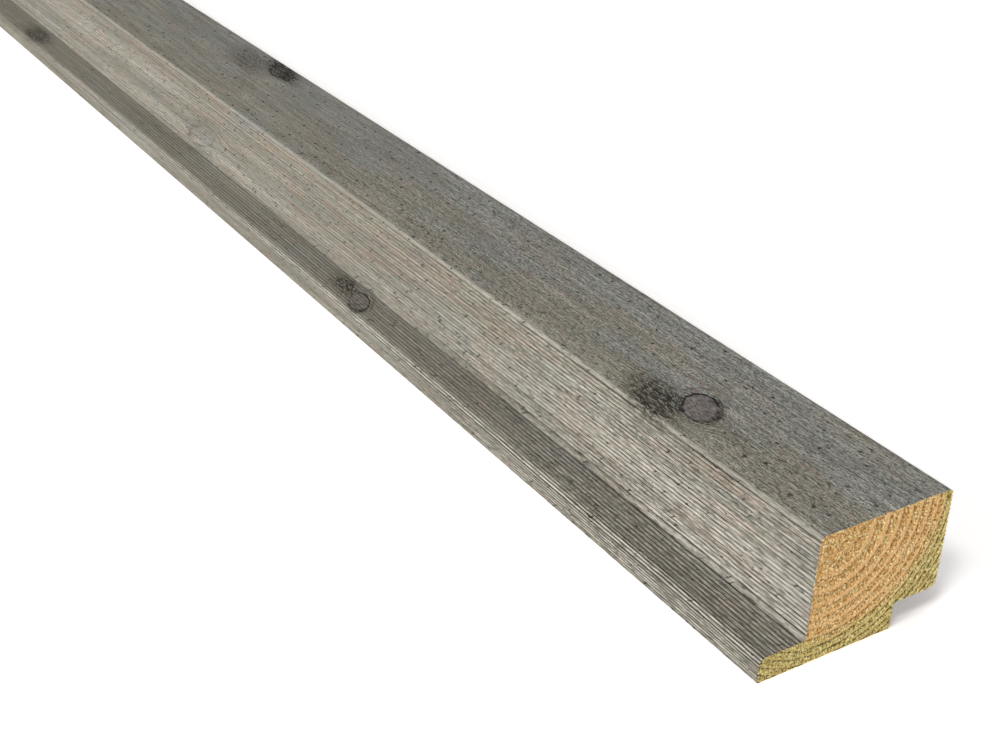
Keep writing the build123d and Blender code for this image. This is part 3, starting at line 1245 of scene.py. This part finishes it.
def end_colour(tree, colours, late, scratch, hole_and_shadow, grain_highlight):
    """One kind of wood on the sawn end."""
    early_wood, late_wood, scratched, dark, bright = [colour(*seen) for seen in colours]
    base = mix(tree, late, early_wood, late_wood)
    base = mix(tree, ramp(tree, scratch, *CORE, 0.0, SCRATCH_SHARE), base, scratched)
    # dark: real pits deepened by painted shadow; bright: painted highlight of the raised grains
    base = mix(tree, hole_and_shadow, base, dark)
    return mix(tree, grain_highlight, base, bright)


# %% [markdown]
# Torn fibre ends stand up as grains, which a Voronoi texture gives as cells. Their bright colour is a
# painted highlight, and the dark holes between them are partly real pits and partly painted shadow of the
# grains.
# Where the rings are clear, their late wood is smoother, so the grains are few there. The rings come from
# the same group as the lines on the faces, and heartwood ends at a distance from the pith.

# %% Bare sawn end
# sizes in mm, and how fast every pattern changes along the slat, in cells to a mm
CELLS_ALONG = 0.3
GRAIN = 0.95
FINE_GRAIN = 0.5
GRAIN_EDGE = (0.75, 0.05)
GAP = 0.85
PATCHY_CLOUDS = (0.0, 0.07, 0.07)
SCRATCH_ACROSS = 0.5
SCRATCH_UP = 2.4

# mm from the pith to where the heartwood ends
HEART_TO_SAP = (34.5, 41.0)
SAP_ON_RIGHT = 5.5
HEART_UNEVEN = 9.0

LATE_SHOWS = (0.2, 0.95)
ROUGH_ON_LATE = 0.25
NEW_YEAR = (0.28, 0.08)
YEAR_STARTS = (0.0, 0.05)
LINE_SHARES = (0.1, 0.4)
HOLE_BY_GRAIN = -0.16
HOLE_EDGE = (0.5, 0.76)
HOLE_DARKENS = 0.9
COARSE_SHINES = (0.45, 0.95)
FINE_SHINES = (0.6, 1.0)
COARSE_HEIGHT = 0.5
FINE_HEIGHT = 0.2
HOLE_HEIGHT = -0.4
LATE_HEIGHT = 0.3
END_ROUGHNESS = 0.85
END_SHINE = 0.2


def grains(tree, place, size, start):
    """Raised grains from 0 to 1, and the random lot of each."""
    place = scaled(tree, place, (CELLS_ALONG, 1 / size, 1 / size), start)
    cells = add(tree, "TexVoronoi", {"Vector": place, "Scale": 1.0})
    lot = add(tree, "SeparateColor", {0: cells.outputs["Color"]}).outputs[0]
    return ramp(tree, cells.outputs["Distance"], *GRAIN_EDGE), lot


def sawn_softwood():
    """The finish of the two ends."""
    material, tree, shader = new_finish("sawn_softwood")
    place = scaled(tree, add(tree, "TexCoord").outputs["Object"], (1 / MM, 1 / MM, 1 / MM))
    rings = add(tree, "Group", node_tree=rings_group).outputs
    clear, part_of_year = rings["Clear"], rings["Part of year"]
    late = times(tree, rings["Late wood"], between(tree, clear, *LATE_SHOWS))
    rough = between(tree, late, 1.0, ROUGH_ON_LATE)
    coarse, coarse_lot = grains(tree, place, GRAIN, (0.0, 0.0, 0.0))
    fine, fine_lot = grains(tree, place, FINE_GRAIN, (3.0, 5.0, 8.0))
    gap = cloud(tree, scaled(tree, place, (CELLS_ALONG, 1 / GAP, 1 / GAP), (9.0, 4.0, 2.0)), roughness=0.6)
    patchy = cloud(tree, scaled(tree, place, PATCHY_CLOUDS, (1.0, 2.0, 3.0)))
    scratches = scaled(tree, place, (CELLS_ALONG, 1 / SCRATCH_ACROSS, 1 / SCRATCH_UP), (2.0, 1.0, 4.0))
    scratch = cloud(tree, scratches, detail=1.0)

    new_year = times(tree, ramp(tree, part_of_year, *NEW_YEAR), ramp(tree, part_of_year, *YEAR_STARTS))
    edge_of_heart = swayed(tree, rings["From pith"], patchy, HEART_UNEVEN)
    edge_of_heart = calc(tree, "MULTIPLY_ADD", rings["To right"], -SAP_ON_RIGHT, edge_of_heart)
    in_sap = ramp(tree, edge_of_heart, *HEART_TO_SAP)
    line = times(tree, times(tree, new_year, clear), between(tree, in_sap, *LINE_SHARES))
    sunk = calc(tree, "ADD", line, calc(tree, "SUBTRACT", 1.0, gap))
    sunk = swayed(tree, sunk, coarse, HOLE_BY_GRAIN)
    # holes are real pits with painted shadow, grains are painted highlights
    hole_and_shadow = times(tree, ramp(tree, sunk, *HOLE_EDGE, 0.0, HOLE_DARKENS), rough)
    shining = times(tree, coarse, ramp(tree, coarse_lot, *COARSE_SHINES))
    glint = times(tree, fine, ramp(tree, fine_lot, *FINE_SHINES))
    grain_highlight = times(tree, calc(tree, "MAXIMUM", shining, glint), rough)

    heart = end_colour(tree, heart_colours, late, scratch, hole_and_shadow, grain_highlight)
    sap = end_colour(tree, sap_colours, late, scratch, hole_and_shadow, grain_highlight)
    base = mix(tree, in_sap, heart, sap)
    height = calc(tree, "MULTIPLY_ADD", coarse, COARSE_HEIGHT, times(tree, fine, FINE_HEIGHT))
    height = calc(tree, "MULTIPLY_ADD", hole_and_shadow, HOLE_HEIGHT, height)
    height = calc(tree, "MULTIPLY_ADD", late, LATE_HEIGHT, times(tree, height, rough))
    lay_on(tree, shader, base, height, END_ROUGHNESS, END_SHINE)
    return material


sawn_end = sawn_softwood()
slat_mesh.materials.append(sawn_end)
print("sawn softwood:", len(sawn_end.node_tree.nodes), "nodes")

# %% [markdown]
# The slat lies on a white floor that shows only a soft shadow. To the camera the floor is so pale that the
# lit part turns plain white, and close under the slat, where little sky is seen, its colour is dimmed:
# painted shade.
# For every other ray it is an ordinary pale floor, so it bounces a natural amount of light at the slat.

# %% Floor
FLOOR_COLOUR = (0.82, 0.82, 0.82, 1.0)
FLOOR_OPEN = (1.95, 1.91, 1.9, 1.0)
FLOOR_PAINTED_SHADE = (1.42, 1.37, 1.35, 1.0)
CLOSE_REACH = 0.025
CLOSE_TO_OPEN = (0.7, 0.95)
FLOOR_SIZE = 8.0


def pale_floor():
    """White to the camera but for the shadow, and plain pale to the light."""
    material, tree, shader = new_finish("pale_floor")
    tree.nodes.remove(shader)
    sky_seen = add(tree, "AmbientOcclusion", {"Distance": CLOSE_REACH}, samples=16).outputs["AO"]
    # the floor's colour to the camera is dimmed near the slat: a painted contact shadow
    to_camera = mix(tree, ramp(tree, sky_seen, *CLOSE_TO_OPEN), FLOOR_PAINTED_SHADE, FLOOR_OPEN)
    lit = add(tree, "BsdfDiffuse", {"Color": FLOOR_COLOUR})
    shown = add(tree, "BsdfDiffuse", {"Color": to_camera})
    path = add(tree, "LightPath")
    to_eye = path.outputs["Is Camera Ray"]
    chosen = add(tree, "MixShader", {0: to_eye, 1: lit.outputs[0], 2: shown.outputs[0]})
    tree.links.new(chosen.outputs[0], tree.nodes["Material Output"].inputs["Surface"])
    return material


floor_bmesh = bmesh.new()
bmesh.ops.create_grid(floor_bmesh, x_segments=1, y_segments=1, size=FLOOR_SIZE / 2)
floor_mesh = bpy.data.meshes.new("floor")
floor_bmesh.to_mesh(floor_mesh)
floor_bmesh.free()
floor = bpy.data.objects.new("floor", floor_mesh)
bpy.context.scene.collection.objects.link(floor)
floor_mesh.materials.append(pale_floor())
print("floor (m):", FLOOR_SIZE, "square")

# %% [markdown]
# The photograph has soft light from the left, low enough that the block's side is much brighter than the
# top, and a weaker one from the front that reaches the sawn end. Sun lamps with wide discs give that light
# evenly over the whole length. A third, higher one picks out the grain of the top, and a weak low one from
# behind lets the side that is turned away be read in other views.

# %% Light
SOFT_SPREAD = math.radians(24)
HIGH_SPREAD = math.radians(12)
SUN_COLOUR = (1.0, 0.99, 0.975)

# where each sun shines from, its strength and the width of its disc
suns = {
    "key": ((0.04, -0.87, 0.41), 2.45, SOFT_SPREAD),
    "front": ((0.92, -0.30, 0.26), 1.9, SOFT_SPREAD),
    "high": ((0.36, -0.75, 1.05), 0.65, HIGH_SPREAD),
    "back": ((-0.25, 0.95, 0.12), 0.7, SOFT_SPREAD),
}
for name, (direction, strength, spread) in suns.items():
    lamp = bpy.data.lights.new(name, "SUN")
    lamp.energy = strength
    lamp.angle = spread
    lamp.color = SUN_COLOUR
    holder = bpy.data.objects.new(name, lamp)
    holder.rotation_euler = (-Vector(direction)).to_track_quat("-Z", "Y").to_euler()
    bpy.context.scene.collection.objects.link(holder)
print("suns:", len(suns))

# %% [markdown]
# The world fills the shadows with a weak cool light. Where the camera itself sees it, past the edge of the
# floor, it is plain white instead.

# %% World
FILL = 0.19
SKY_COLOUR = (0.97, 0.985, 1.0, 1.0)
WHITE = (1.0, 1.0, 1.0, 1.0)

world = bpy.data.worlds.new("studio")
bpy.context.scene.world = world
world.use_nodes = True
sky = world.node_tree
backdrop = sky.nodes["Background"]
camera_ray = add(sky, "LightPath").outputs["Is Camera Ray"]
brightness = add(sky, "MapRange", {0: camera_ray, 3: FILL, 4: 1.0}).outputs[0]
sky.links.new(brightness, backdrop.inputs["Strength"])
sky.links.new(mix(sky, camera_ray, SKY_COLOUR, WHITE), backdrop.inputs["Color"])
print("world:", len(sky.nodes), "nodes")

# %% [markdown]
# The camera stands where the photograph was taken from. Its place and lens were worked out from the
# slat's own straight edges, so the rendered slat lies on the photographed one.

# %% Camera
CAMERA_AT = Vector((1.1552, -0.2912, 0.2904))
CAMERA_LOOKS = Vector((-0.73810, 0.47699, -0.47717))
CAMERA_ROLL = math.radians(1.92)
FOCAL_LENGTH = 56.17
SENSOR_WIDTH = 36.0

camera_data = bpy.data.cameras.new("camera")
camera_data.lens = FOCAL_LENGTH
camera_data.sensor_width = SENSOR_WIDTH
camera = bpy.data.objects.new("camera", camera_data)
level = CAMERA_LOOKS.to_track_quat("-Z", "Y")
camera.rotation_euler = (level @ Quaternion((0.0, 0.0, 1.0), CAMERA_ROLL)).to_euler()
camera.location = CAMERA_AT
bpy.context.scene.collection.objects.link(camera)
bpy.context.scene.camera = camera
bpy.context.view_layer.update()
print("camera right:", camera.matrix_world.to_3x3().col[0][:])
print("camera up:", camera.matrix_world.to_3x3().col[1][:])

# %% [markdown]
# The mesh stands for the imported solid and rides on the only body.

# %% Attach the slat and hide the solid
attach(ribbed_slat, "root")
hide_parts("slat")

bpy.context.scene.view_settings.view_transform = "Standard"

bpy.context.view_layer.update()
